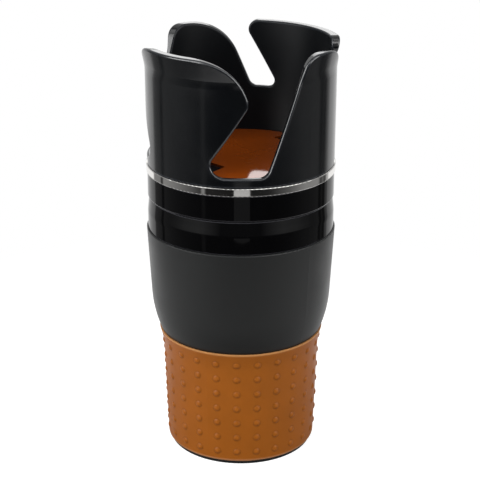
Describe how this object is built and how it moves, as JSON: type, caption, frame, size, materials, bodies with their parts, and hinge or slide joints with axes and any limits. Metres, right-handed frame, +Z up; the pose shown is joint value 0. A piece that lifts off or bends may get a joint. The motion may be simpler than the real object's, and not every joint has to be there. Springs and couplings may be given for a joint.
{
  "type": "car cup holder",
  "caption": "Swing-out car cup holder: a petal-rimmed upper cup with handle slots turns on an off-centre post above a tapered lower cup with a dotted grip sleeve.",
  "frame": {"origin": "centre of the foot ring, on the surface that the holder stands on", "axes": "+Z up along the cups' axis, -Y the front with the tall front petal, +Y the back with the swing post"},
  "size_m": [0.0914, 0.0916, 0.198],
  "materials": {
    "satin_black": "satin moulded plastic with a very fine grain",
    "matte_black": "matte moulded plastic with a fine spark-eroded texture",
    "gloss_black": "piano-black gloss",
    "chrome": "bright plating",
    "brown_silicone": "satin silicone with low domes",
    "brown_pad": "smooth glossy silicone",
    "steel": "zinc-plated steel",
    "white_plastic": "natural acetal"
  },
  "bodies": {
    "base": {"base_shell": "matte_black", "grip_sleeve": "brown_silicone", "base_pad": "brown_pad", "collar_ring": "gloss_black", "pivot_post": "steel", "thrust_washer": "white_plastic", "spring_washer": "steel", "retaining_washer": "steel", "pivot_screw": "steel"},
    "upper_cup": {"petal_cup": "satin_black", "cup_pad": "brown_pad", "chrome_ring": "chrome", "swing_housing": "gloss_black", "housing_screws": "steel", "pivot_bush": "white_plastic"}
  },
  "joints": [
    {"name": "swing", "type": "hinge", "parent": "base", "child": "upper_cup", "pos_m": [0, 0.0355, 0], "axis": [0, 0, 1], "continuous": true}
  ]
}
